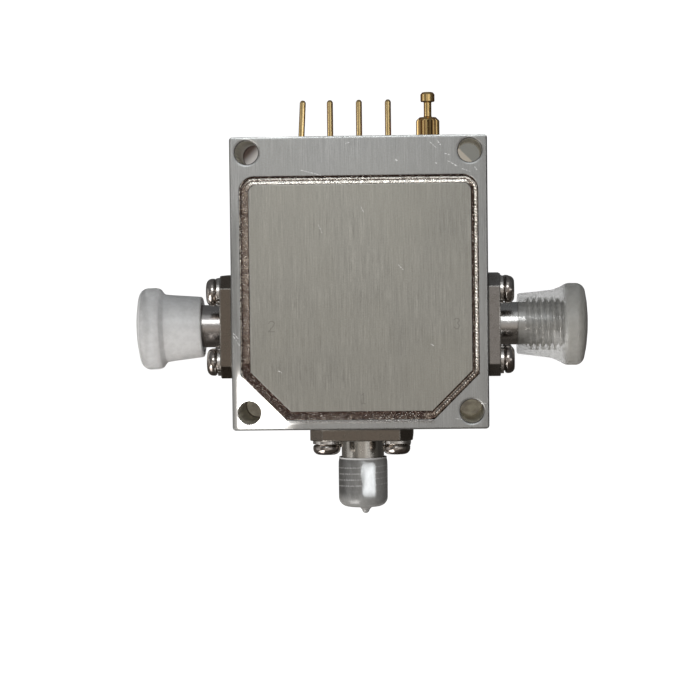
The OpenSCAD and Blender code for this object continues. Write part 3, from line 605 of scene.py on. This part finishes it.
ONE = [(-0.16, 0.30, 0.0, 0.5), (0.0, 0.5, 0.0, -0.5), (-0.18, -0.5, 0.18, -0.5)]
TWO = [(-0.26, 0.28, -0.16, 0.46), (-0.16, 0.46, 0.1, 0.5), (0.1, 0.5, 0.26, 0.32), (0.26, 0.32, 0.2, 0.08),
       (0.2, 0.08, -0.28, -0.5), (-0.28, -0.5, 0.28, -0.5)]
THREE = [(-0.26, 0.36, -0.08, 0.5), (-0.08, 0.5, 0.16, 0.46), (0.16, 0.46, 0.24, 0.26), (0.24, 0.26, 0.02, 0.04),
         (0.02, 0.04, 0.26, -0.2), (0.26, -0.2, 0.14, -0.46), (0.14, -0.46, -0.1, -0.5), (-0.1, -0.5, -0.28, -0.34)]
PORT_MARKS = digit(271.5, 326.5, TWO) + digit(457.0, 323.5, THREE) + digit(363.5, 398.5, ONE)
mat_housing = brushed_aluminium("housing_metal", (0.495, 0.496, 0.488), glare=True, scratches=HOUSING_SCRATCHES)
mat_lid = brushed_aluminium("lid_metal", (0.476, 0.463, 0.420), scratches=LID_SCRATCHES, marks=PORT_MARKS)
mat_weld = weld_material()
# lit and shaded copies of one steel: the left and bottom jacks are painted darker and browner than the right one, as
# painted shade
mat_jacks = {
    "right": turned_metal("jack_steel", (0.345, 0.325, 0.31), rough=0.22, tint=(0.25, 0.23, 0.21), edge=0.2,
                          barrel=(0, 17.3, 17.36, (0.62, 0.605, 0.585)), thread=(0, 20.55, 20.75)),
    "left": turned_metal("jack_steel_shaded_brown", (0.205, 0.172, 0.142), rough=0.2, tint=(0.17, 0.145, 0.12), edge=0.2,
                         barrel=(0, -17.3, -17.36, (0.52, 0.49, 0.475)), thread=(0, -20.55, -20.75)),
    "bottom": turned_metal("jack_steel_shaded_warm", (0.22, 0.188, 0.158), rough=0.2, tint=(0.18, 0.16, 0.135), edge=0.2,
                           barrel=(1, -19.66, -19.72, (0.60, 0.575, 0.53)), thread=(1, -22.9, -23.1)),
}
mat_screw = turned_metal("screw_steel", (0.46, 0.42, 0.39), rough=0.13, bump=0.5, scale=(5, 5, 5), tint=(0.2, 0.16, 0.13))
mat_washer = turned_metal("washer_steel", (0.66, 0.63, 0.60), rough=0.22)
mat_gold = gold("gold_plate", (1.0, 0.71, 0.35), 0.09)
mat_terminal = gold("terminal_gold", (1.0, 0.67, 0.29), 0.09, teeth=(8.55, 7.01, 20.0, 1.35, 1.44))
mat_contact = gold("contact_gold", along=(20, 20, 20))
mat_ring = gold("seal_ring_metal", (0.74, 0.56, 0.3), 0.3, (12, 12, 12))
mat_glass = plain("seal_glass", (0.06, 0.1, 0.16), 0.15, var=0.2)
mat_ptfe = plain("fluoropolymer", (0.86, 0.86, 0.83), 0.45, var=0.03)
mat_right_cap = cap_plastic("collar_cap_plastic", (0.56, 0.552, 0.52), (0.50, 0.49, 0.455), 0.34, 0.38, 0.78, 25.0, 25.9, 0.045, 0.32, rings=0.46)
mat_left_cap = cap_plastic("pale_cap_plastic", (0.985, 0.985, 0.984), (0.88, 0.88, 0.88), 0.4, 0.93, 0.66, -24.9, -25.7, 0.02, 0.35)
mat_sleeve_cap = film_plastic("sleeve_cap_plastic", (0.29, 0.288, 0.28))
mat_laminate = plain("microwave_laminate", (0.82, 0.82, 0.76), 0.6, var=0.05)
mat_track = gold("gold_track", (0.8, 0.55, 0.22), 0.3, (10, 10, 10))
mat_chip = plain("chip", (0.05, 0.05, 0.06), 0.25, var=0.2)
mat_ceramic = plain("capacitor_ceramic", (0.5, 0.38, 0.24), 0.45)
mat_choke = plain("choke_body", (0.12, 0.1, 0.08), 0.5)
mat_board = plain("circuit_board", (0.02, 0.13, 0.06), 0.35, var=0.15)
mat_package = plain("package_black", (0.025, 0.025, 0.028), 0.5, var=0.15)
mat_tin = turned_metal("tinned_lead", (0.75, 0.75, 0.73), rough=0.25)


def assign(node, mat):
    me = nodes[node].data
    me.materials.clear()
    me.materials.append(mat)


assign("housing", mat_housing)
assign("lid", mat_lid)
for p in ("right", "left", "bottom"):
    assign(p + "_jack_insulator", mat_ptfe)
    assign(p + "_jack_contact", mat_contact)
    assign(p + "_feed_ring", mat_ring)
    assign(p + "_feed_glass", mat_glass)
    assign(p + "_feed_pin", mat_contact)
    assign(p + "_dust_cap", {"right": mat_right_cap, "left": mat_left_cap, "bottom": mat_sleeve_cap}[p])
    assign(p + "_flange_screws", mat_screw)
    assign(p + "_spring_washers", mat_washer)
for i in (1, 2, 3, 4):
    assign(f"bias_pin_{i}", mat_gold)
assign("bias_eyelets", mat_ring)
assign("bias_glass", mat_glass)
assign("ground_terminal", mat_terminal)
for n, m in (("rf_board", mat_laminate), ("rf_tracks", mat_track), ("pin_diodes", mat_chip),
             ("dc_block_capacitors", mat_ceramic), ("bias_chokes", mat_choke), ("rf_board_screws", mat_screw),
             ("partition_capacitors", mat_ring), ("bias_wires", mat_contact), ("driver_board", mat_board),
             ("driver_pads", mat_track), ("driver_ic", mat_package), ("driver_ic_leads", mat_tin),
             ("driver_transistors", mat_package), ("driver_resistors", mat_package),
             ("driver_capacitors", mat_ceramic), ("driver_board_screws", mat_screw)):
    assign(n, m)


# ---------------------------------------------------------------- weld seam
def rounded_path(points, radii, step):
    """Closed path through the corner points with a fillet at each, as (point, outward normal, length) samples."""
    n = len(points)
    segs = []
    for i in range(n):
        p0, p1, p2 = (Vector(points[(i + k - 1) % n]) for k in (0, 1, 2))
        d0, d1 = (p1 - p0).normalized(), (p2 - p1).normalized()
        turn = d0.angle(d1)
        r = radii[i]
        t = r * math.tan(turn / 2)
        side = 1.0 if d0.cross(d1) > 0 else -1.0
        nrm = Vector((-d0.y, d0.x)) * side
        segs.append((p1 - d0 * t, p1 + d1 * t, p1 - d0 * t + nrm * r, r, turn, side))
    out = []
    for i in range(n):
        a, b, c, r, turn, side = segs[i]
        m = max(2, int(r * turn / step))
        a0 = math.atan2((a - c).y, (a - c).x)
        for k in range(m):
            ang = a0 + side * turn * k / m
            out.append(c + Vector((math.cos(ang), math.sin(ang))) * r)
        nxt = segs[(i + 1) % n][0]
        l = (nxt - b).length
        m = max(1, int(l / step))
        for k in range(m):
            out.append(b.lerp(nxt, k / m))
    res = []
    s = 0.0
    for i, p in enumerate(out):
        q0, q1 = out[i - 1], out[(i + 1) % len(out)]
        d = (q1 - q0).normalized()
        res.append((p, Vector((d.y, -d.x)), s))
        s += (out[(i + 1) % len(out)] - p).length
    return res, s


def weld_seam():
    d = SEAM_W / 2
    hw, y0, y1, c = LID_HW - d, -LID_LOW + d, LID_HIGH - d, LID_C - 0.5858 * d
    # the band runs from the pocket's wall to the lid, which sits a little to the right
    mx = LID_DX / 2
    corners = [(-hw + c + mx, y0), (hw - c + mx, y0), (hw + mx, y0 + c), (hw + mx, y1), (-hw + mx, y1), (-hw + mx, y0 + c)]
    path, total = rounded_path(corners, [0.9, 0.9, 0.9, 1.4, 1.4, 0.9], 0.06)
    # sections of the seam from the lid side (t = -0.5) to the housing side (t = 0.5), as (height, darkness) for each
    # of the four sides, the darkness being heat-tint oxidation in the brown bands and painted shade in the dark cracks
    # and slits: two bright lines and a crack at the top, a dark band with a bright rim on the left, a slit and a
    # beaded ridge on the right, a dark band and a sparkling edge at the bottom
    ts = (-0.54, -0.50, -0.44, -0.38, -0.31, -0.24, -0.17, -0.11, -0.06, -0.02, 0.03, 0.08, 0.13, 0.18, 0.23, 0.28, 0.33, 0.38,
          0.43, 0.47, 0.51, 0.54)
    top_h = (-.12, -.05, -.03, -.04, -.055, -.07, -.085, -.10, -.16, -.15, -.05, -.045, -.056, -.068, -.08, -.14, -.21, -.24,
             -.23, -.20, -.12, -.06)
    top_o = (.5, .25, .05, 0, 0, 0, .05, .2, .95, .9, .1, 0, 0, 0, .2, .95, 1, 1, 1, 1, .8, .6)
    left_h = (-.16, -.08, -.06, -.07, -.08, -.09, -.10, -.105, -.11, -.11, -.11, -.11, -.11, -.115, -.13, -.16, -.15, -.04,
              -.012, -.035, -.06, -.10)
    left_o = (1, .8, .62, .56, .54, .54, .56, .58, .6, .6, .6, .62, .64, .68, .8, 1, 1, .5, 0, 0, .05, .5)
    right_h = (-.14, -.15, -.18, -.21, -.22, -.22, -.19, -.14, -.09, -.06, -.035, -.02, -.01, -.005, -.01, -.015, -.025, -.05,
               -.10, -.15, -.13, -.08)
    right_o = (1, 1, .95, .9, .88, .86, .8, .62, .38, .18, .12, .12, .12, .12, .12, .12, .12, .3, .75, 1, .9, .6)
    low_h = (-.16, -.12, -.11, -.12, -.13, -.13, -.125, -.12, -.11, -.10, -.09, -.085, -.08, -.075, -.07, -.06, -.05, -.035,
             -.02, -.02, -.04, -.09)
    low_o = (1, 1, 1, 1, 1, .98, .95, .9, .85, .78, .80, .80, .78, .76, .75, .74, .7, .66, .56, .45, .4, .5)
    # the slanting lower-right edge: a dark line beside the lid, then a pale band that dulls outwards
    slant_o = (.95, .95, .88, .72, .52, .42, .38, .36, .36, .37, .39, .42, .46, .5, .54, .58, .62, .66, .68, .66, .62, .6)
    pitch = total / round(total / 0.36)
    verts, faces, oxide_and_shade = [], [], []
    m = len(ts)
    top = BODY_H
    for p, nrm, s in path:
        wide = (SEAM_W - LID_DX * nrm.x) / 1.05
        w = 0.045 * noise.noise(Vector((s * 0.9, 3.0, 0.0))) + 0.035 * noise.noise(Vector((s * 2.6, 9.0, 0.0)))
        wt, wb, wr, wl = (max(0.0, v) ** 2 for v in (nrm.y, -nrm.y, nrm.x, -nrm.x))
        right_low = max(0.0, min(1.0, (p.x - 7.5) / 2.0)) * max(0.0, min(1.0, (-9.5 - p.y) / 2.0))
        left_low = max(0.0, min(1.0, (-7.5 - p.x) / 2.0)) * max(0.0, min(1.0, (-9.5 - p.y) / 2.0))
        left_end = max(0.0, min(1.0, (-8.5 - p.x) / 5.0))
        extra = 0.60 * left_low + 0.12 * wl * max(0.0, min(1.0, (2.0 - p.y) / 8.0))
        ox_noise = 0.20 * noise.noise(Vector((s * 1.3, 1.0, 7.0)))
        # here and there the bright lines are broken by short dark gaps
        gap = max(0.0, noise.noise(Vector((s * 2.3, 4.0, 2.0))) - 0.12) * 3.2 * (0.4 + 0.6 * left_end)
        for k, t in enumerate(ts):
            edge = 1.0 - min(1.0, abs(t) / 0.52) ** 4
            h = wt * top_h[k] + wb * low_h[k] + wr * right_h[k] + wl * left_h[k]
            o = wt * top_o[k] + wb * low_o[k] + wr * right_o[k] + wl * left_o[k]
            sh = s + 1.1 * (t + 0.1) ** 2 + 0.10 * noise.noise(Vector((s * 1.1, 5.0, 1.0)))
            u = (sh / pitch) % 1.0
            scale = (1.0 - abs(2 * u - 1.0) ** 1.6)
            near = math.exp(-((t - 0.13) / 0.16) ** 2) * (0.5 * wt + wr + 0.5 * wb) + math.exp(-((t - 0.46) / 0.07) ** 2) * (1.3 * wl + 0.8 * wb)
            rip = (scale - 0.6) * (0.06 * near + 0.03)
            rough = 0.026 * noise.noise(Vector((p.x * 4.0 + t * 3, p.y * 4.0, t * 6.0))) + 0.02 * noise.noise(Vector((p.x * 11, p.y * 11, t * 9)))
            hh = h + (rip + rough) * edge * (1.0 - 0.6 * right_low)
            q = p + nrm * (t * wide + w * edge)
            verts.append((q.x, q.y, top - 0.01 + min(hh, 0.03)))
            o += (slant_o[k] - o) * 0.9 * right_low
            o += gap * math.exp(-((t - 0.1) / 0.1) ** 2) * (wt + 0.6 * wr)
            o += max(0.0, noise.noise(Vector((s * 3.1, 8.0, 5.0))) + 0.05) * 3.0 * (math.exp(-((t - 0.47) / 0.06) ** 2) * wl + math.exp(-((t - 0.42) / 0.1) ** 2) * wb)
            o += extra * (1.0 if t < 0.38 else 0.3)
            oxide_and_shade.append(max(0.0, min(1.0, o + ox_noise)))
    cnt = len(path)
    for k, t in enumerate((-0.54, 0.54)):
        for p, nrm, s in path:
            q = p + nrm * t * (SEAM_W - LID_DX * nrm.x) / 1.05
            verts.append((q.x, q.y, top - 0.49))
            oxide_and_shade.append(1.0)
    low = cnt * m
    for i in range(cnt):
        j = (i + 1) % cnt
        for k in range(m - 1):
            faces.append((i * m + k, j * m + k, j * m + k + 1, i * m + k + 1))
        faces.append((i * m, low + i, low + j, j * m))
        faces.append((i * m + m - 1, j * m + m - 1, low + cnt + j, low + cnt + i))
        faces.append((low + i, low + cnt + i, low + cnt + j, low + j))
    o = new_obj("weld_seam", verts, faces, mat_weld, None)
    layer = o.data.attributes.new("oxide_and_shade", "FLOAT", "POINT")
    layer.data.foreach_set("value", oxide_and_shade)
    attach(o, "root")
    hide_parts("weld_bead")
    return o


weld_seam()


# ---------------------------------------------------------------- jack shells
def lathe(profile, seg=96, radius_at=None):
    """Closed loop of (radius, height) points turned about the local axis."""
    verts, faces = [], []
    m = len(profile)
    for i in range(seg):
        a = 2 * math.pi * i / seg
        for k, (r, z) in enumerate(profile):
            rr = radius_at(a, r, z) if radius_at else r
            verts.append((rr * math.cos(a), rr * math.sin(a), z))
    for i in range(seg):
        j = (i + 1) % seg
        for k in range(m):
            l = (k + 1) % m
            faces.append((i * m + k, j * m + k, j * m + l, i * m + l))
    return verts, faces


PITCH = 0.75
THREAD_R, THREAD_ROOT = 2.97, 2.59
THREAD_FROM, NOSE = FLANGE_T + 3.2, FLANGE_T + 8.1


def thread_radius(a, r, z):
    if r < 2.9 or z < THREAD_FROM or z > NOSE - 0.05:
        return r
    u = (z / PITCH - a / (2 * math.pi)) % 1.0
    v = abs(2 * u - 1.0)
    depth = max(0.0, min(1.0, (v - 0.30) / 0.58))
    rr = THREAD_R - (THREAD_R - THREAD_ROOT) * depth
    lead = min(1.0, (z - THREAD_FROM) / 0.35)
    tail = (NOSE - z) / 0.5
    lim = THREAD_ROOT + (THREAD_R - THREAD_ROOT) * min(1.0, tail)
    start = 2.665 + (THREAD_R - 2.665) * lead
    return min(rr, lim, start)


def jack_mesh():
    # nose and barrel, one turned piece with the bore through it
    prof = [(2.05, 0.3), (2.665, 0.3), (2.665, THREAD_FROM - 0.25), (2.665, THREAD_FROM)]
    z = THREAD_FROM + 0.02
    while z < NOSE - 0.06:
        prof.append((THREAD_R, z))
        z += PITCH / 12
    prof += [(2.52, NOSE), (2.39, NOSE), (2.31, NOSE - 0.09), (2.31, NOSE - 1.9), (2.05, NOSE - 1.9)]
    return lathe(prof, 96, thread_radius)


def boolean(o, other, op):
    md = o.modifiers.new("b", "BOOLEAN")
    md.operation = op
    md.solver = "EXACT"
    md.object = other
    dg = bpy.context.evaluated_depsgraph_get()
    me = bpy.data.meshes.new_from_object(o.evaluated_get(dg))
    o.modifiers.clear()
    old = o.data
    o.data = me
    bpy.data.meshes.remove(old)
    bpy.data.objects.remove(other)


def prism(name, pts, z0, z1, bev):
    """Extruded outline with its top and bottom edges bevelled by bev."""
    n = len(pts)
    c = Vector((sum(p[0] for p in pts) / n, sum(p[1] for p in pts) / n))
    rings = []
    for z, inset in ((z0, bev), (z0 + bev, 0), (z1 - bev, 0), (z1, bev)):
        ring = []
        for i in range(n):
            p0, p1, p2 = Vector(pts[i - 1]), Vector(pts[i]), Vector(pts[(i + 1) % n])
            d0, d1 = (p1 - p0).normalized(), (p2 - p1).normalized()
            n0, n1 = Vector((-d0.y, d0.x)), Vector((-d1.y, d1.x))
            b = (n0 + n1)
            b = b / max(1e-6, b.dot(n0))
            q = p1 + b * inset
            ring.append((q.x, q.y, z))
        rings.append(ring)
    verts = [v for r in rings for v in r]
    faces = [tuple(reversed(range(n))), tuple(range(3 * n, 4 * n))]
    for k in range(3):
        for i in range(n):
            j = (i + 1) % n
            faces.append((k * n + i, k * n + j, (k + 1) * n + j, (k + 1) * n + i))
    return new_obj(name, verts, faces, None, 30)


def cyl(name, x, y, r, z0, z1, seg=48):
    verts = [(x + r * math.cos(2 * math.pi * i / seg), y + r * math.sin(2 * math.pi * i / seg), z) for z in (z0, z1) for i in range(seg)]
    faces = [tuple(reversed(range(seg))), tuple(range(seg, 2 * seg))]
    faces += [(i, (i + 1) % seg, seg + (i + 1) % seg, seg + i) for i in range(seg)]
    return new_obj(name, verts, faces, None, 30)


s, c = 6.35, 1.57
flange_pts = [(-s + c, -s), (s - c, -s), (s, -s + c), (s, s - c), (s - c, s), (-s + c, s), (-s, s - c), (-s, -s + c)]
shell = prism("shell_proto", flange_pts, 0.0, FLANGE_T, 0.09)
boolean(shell, cyl("hole", 0, 0, 2.05, -1, 3, 96), "DIFFERENCE")
for sx in (-1, 1):
    for sy in (-1, 1):
        boolean(shell, cyl("hole", sx * 4.32, sy * 4.32, 1.15, -1, 3), "DIFFERENCE")
nv, nf = jack_mesh()
boolean(shell, new_obj("nose", nv, nf, None, 30), "UNION")
smooth(shell, 32)
PORTS = {
    "right": Matrix.Translation(Vector((BODY_W / 2, SIDE_Y, JACK_Z)) * MM) @ Matrix.Rotation(math.pi / 2, 4, "Y"),
    "left": Matrix.Translation(Vector((-BODY_W / 2, SIDE_Y, JACK_Z)) * MM) @ Matrix.Rotation(-math.pi / 2, 4, "Y"),
    "bottom": Matrix.Translation(Vector((0, BODY_Y0, JACK_Z)) * MM) @ Matrix.Rotation(math.pi / 2, 4, "X"),
}
for p, mw in PORTS.items():
    me = shell.data.copy()
    me.transform(mw)
    me.materials.clear()
    me.materials.append(mat_jacks[p])
    o = bpy.data.objects.new(p + "_jack", me)
    bpy.context.scene.collection.objects.link(o)
    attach(o, "root")
    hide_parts(p + "_jack_shell")
bpy.data.objects.remove(shell)


# ---------------------------------------------------------------- stage and light
def floor():
    verts = [(-900, -900, -0.02), (900, -900, -0.02), (900, 900, -0.02), (-900, 900, -0.02)]
    M = Mat("floor")
    a = M.noise((0.05, 0.05, 0.05), 2.0, 0.5)
    X, Y, _ = M.xyz()
    pale = M.mix(M.ramp(a, 0.3, 0.7), (0.20, 0.20, 0.20), (0.23, 0.23, 0.23))
    M.color(pale)
    M.b.inputs["Emission Color"].default_value = (1, 1, 1, 1)
    M.b.inputs["Emission Strength"].default_value = 0.97
    M.set(Roughness=0.8)
    M.b.inputs["Specular IOR Level"].default_value = 0.1
    o = new_obj("floor", verts, [(0, 1, 2, 3)], M.m, None)
    # the metal mirrors the dim room, not the pale floor
    o.visible_glossy = False
    o.visible_transmission = False
    o.visible_diffuse = False


def hole_patch():
    """What shows through the four mounting holes: a matt table top that glows a little, with painted light where the
    lamps would reach it and painted shadow elsewhere.
    """
    verts, faces = [], []
    for sx in (-1, 1):
        for sy in (-1, 1):
            k = len(verts)
            verts += [(sx * 13.65 + 1.6 * math.cos(math.pi * i / 12), sy * 15.95 + 1.6 * math.sin(math.pi * i / 12), -0.01) for i in range(24)]
            faces.append(tuple(range(k, k + 24)))
    M = Mat("table_under_holes_painted_light")
    a = M.noise((0.9, 0.9, 0.9), 3.0, 0.6)
    X, Y, _ = M.xyz()
    right, up = M.ramp(X, -2.0, 2.0), M.ramp(Y, -2.0, 2.0)
    low = M.mix(M.ramp(a, 0.35, 0.65), (0.115, 0.10, 0.08), (0.19, 0.172, 0.13))
    # upper left: painted shadow, brown, going over to painted light, paler, towards the lower right
    tl = M.mix(M.ramp(M.math("SUBTRACT", X, Y), -31.2, -29.4), (0.07, 0.05, 0.042), (0.46, 0.44, 0.42))
    # upper right: grey with a painted pool of light, beige, low on the left
    tr = M.mix(M.ramp(M.math("ADD", X, Y), 29.1, 29.4), (0.40, 0.365, 0.315), (0.21, 0.21, 0.195))
    high = M.mix(right, tl, tr)
    c = M.mix(up, low, high)
    M.color(c)
    M.link(c, M.b.inputs["Emission Color"])
    M.b.inputs["Emission Strength"].default_value = 0.85
    M.set(Roughness=0.8)
    new_obj("table_under_holes_painted_light", verts, faces, M.m, None)


floor()
hole_patch()


def area(name, loc, target, size, power, colour=(1, 1, 1), size_y=None):
    d = bpy.data.lights.new(name, "AREA")
    d.shape = "RECTANGLE" if size_y else "SQUARE"
    d.size = size
    if size_y:
        d.size_y = size_y
    d.energy = power
    d.color = colour
    o = bpy.data.objects.new(name, d)
    bpy.context.scene.collection.objects.link(o)
    o.location = loc
    o.rotation_euler = (Vector(target) - Vector(loc)).to_track_quat("-Z", "Y").to_euler()
    return o


def lamp(name, azimuth, off, dist, size, radiance, colour=(1, 1, 1), size_y=None):
    """Soft panel that far off the zenith, towards an azimuth from +X, with a given brightness."""
    a, o = math.radians(azimuth), math.radians(off)
    loc = Vector((math.sin(o) * math.cos(a), math.sin(o) * math.sin(a), math.cos(o))) * dist
    return area(name, loc, (0, 0, 0.007), size, radiance * math.pi * size * (size_y or size), colour, size_y)


lamp("lamp_pin_side", 94, 26, 0.62, 0.18, 5.5, (0.95, 0.985, 1.0))
lamp("lamp_pin_side_wide", 90, 50, 0.66, 0.30, 0.45, (0.95, 0.985, 1.0))
lamp("lamp_right", 0, 45, 0.62, 0.07, 1.8, (1, 1, 1), 0.34)
lamp("lamp_right_wide", 0, 29, 0.66, 0.26, 0.5, (1, 1, 1), 0.34)
lamp("lamp_left", 180, 62, 0.62, 0.12, 1.4, (1, 1, 1))
lamp("lamp_left_low", 180, 76, 0.70, 0.5, 0.35, (1, 1, 1))
lamp("lamp_corner", 228, 42, 0.80, 0.20, 8.0, (1.0, 0.975, 0.94))
lamp("lamp_fill", 232, 66, 0.66, 0.42, 3.2, (1.0, 0.985, 0.97))

# a dim room for the metal to mirror: brighter overhead, darker at the horizon, with a pale backdrop behind
world = bpy.data.worlds.new("world")
bpy.context.scene.world = world
world.use_nodes = True
wt, wn = world.node_tree, world.node_tree.nodes
bg = wn["Background"]
tc = wn.new("ShaderNodeTexCoord")
sp = wn.new("ShaderNodeSeparateXYZ")
wt.links.new(tc.outputs["Generated"], sp.inputs[0])


def wmath(op, a, b=None, c=None):
    n = wn.new("ShaderNodeMath")
    n.operation = op
    for i, x in enumerate((a, b, c)):
        if isinstance(x, (int, float)):
            n.inputs[i].default_value = x
        elif x is not None:
            wt.links.new(x, n.inputs[i])
    return n.outputs[0]


def wramp(fac, lo, hi, a, b):
    n = wn.new("ShaderNodeMapRange")
    n.interpolation_type = "SMOOTHSTEP"
    wt.links.new(fac, n.inputs["Value"])
    for key, v in (("From Min", lo), ("From Max", hi), ("To Min", a), ("To Max", b)):
        n.inputs[key].default_value = v
    return n.outputs[0]


up = wramp(sp.outputs[2], 0.84, 0.97, 0.0, 0.34)
hor = wmath("ADD", wramp(sp.outputs[2], -0.1, 0.1, 0.10, 0.14),
            wmath("ADD", wmath("MULTIPLY", sp.outputs[1], 0.05), wmath("MULTIPLY", sp.outputs[0], -0.05)))
level = wmath("ADD", up, hor)
tone = wn.new("ShaderNodeMix")
tone.data_type = "RGBA"
wt.links.new(wramp(sp.outputs[1], -0.6, 0.6, 0.0, 1.0), tone.inputs[0])
tone.inputs[6].default_value = (1.10, 0.985, 0.87, 1)
tone.inputs[7].default_value = (0.97, 1.0, 1.03, 1)
pale = wn.new("ShaderNodeBackground")
pale.inputs["Color"].default_value = (1, 1, 1, 1)
pale.inputs["Strength"].default_value = 0.96
lp = wn.new("ShaderNodeLightPath")
mx = wn.new("ShaderNodeMixShader")
wt.links.new(tone.outputs[2], bg.inputs["Color"])
wt.links.new(level, bg.inputs["Strength"])
wt.links.new(lp.outputs["Is Camera Ray"], mx.inputs[0])
wt.links.new(bg.outputs[0], mx.inputs[1])
wt.links.new(pale.outputs[0], mx.inputs[2])
wt.links.new(mx.outputs[0], wn["World Output"].inputs["Surface"])

bpy.context.scene.view_settings.view_transform = "Standard"
bpy.context.scene.view_settings.look = "None"
